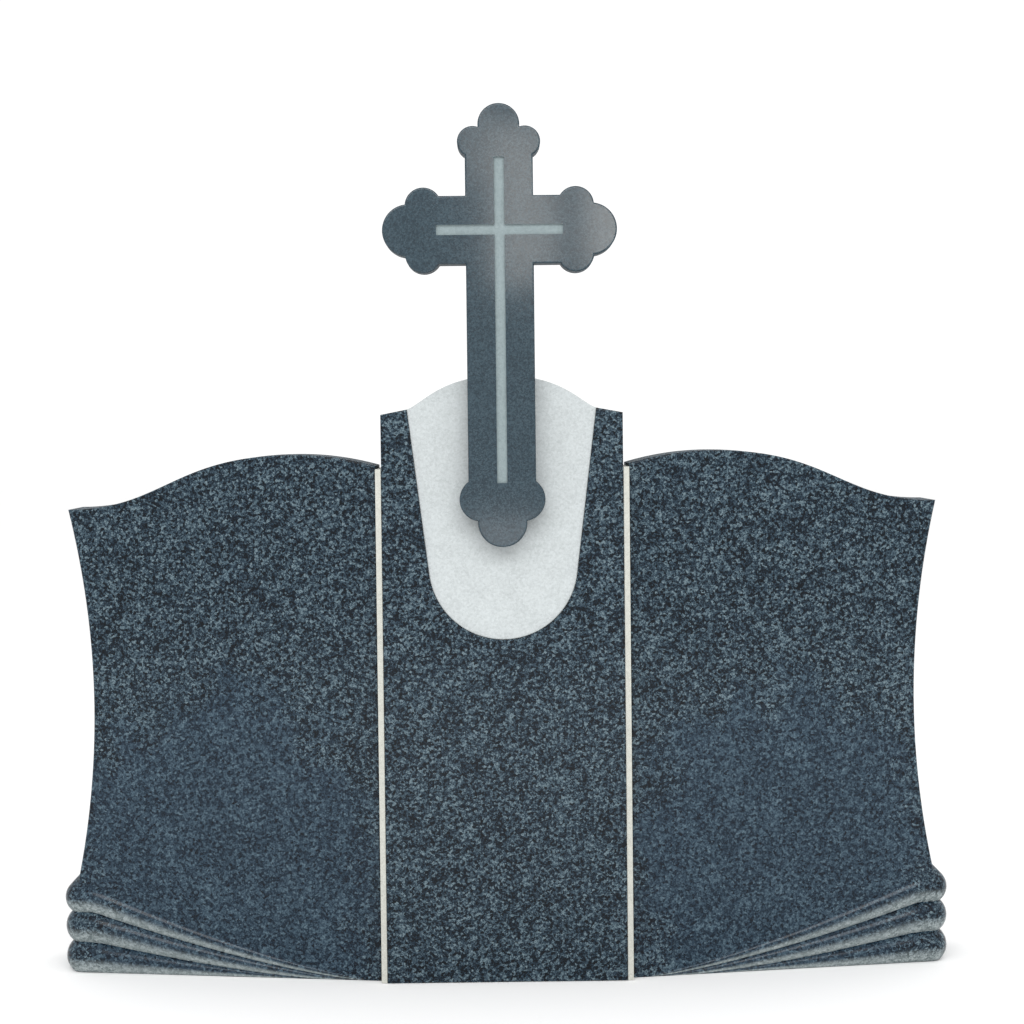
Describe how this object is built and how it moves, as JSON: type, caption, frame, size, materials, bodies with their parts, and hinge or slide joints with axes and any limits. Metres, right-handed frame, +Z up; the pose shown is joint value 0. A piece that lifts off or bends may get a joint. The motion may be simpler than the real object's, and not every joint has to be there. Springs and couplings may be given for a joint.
{
  "type": "headstone",
  "caption": "Dark granite headstone: a tall centre slab with a light panel and a budded cross, between wings swept back with rolled folds at the foot.",
  "frame": {"origin": "middle of the centre slab's underside", "axes": "+Z up; the front, with the panel and the cross, looks along -Y; +X to the right seen from the front"},
  "size_m": [1.466, 0.2968, 1.404],
  "materials": {
    "dark_granite": "polished blue-grey granite",
    "light_stone": "honed light grey stone",
    "cross_granite": "polished dark granite, finer in grain"
  },
  "bodies": {
    "root": {"centre_slab": "dark_granite", "left_wing": "dark_granite", "right_wing": "dark_granite", "light_panel": "light_stone", "left_joint_strip": "light_stone", "right_joint_strip": "light_stone", "cross": "cross_granite"}
  },
  "joints": []
}
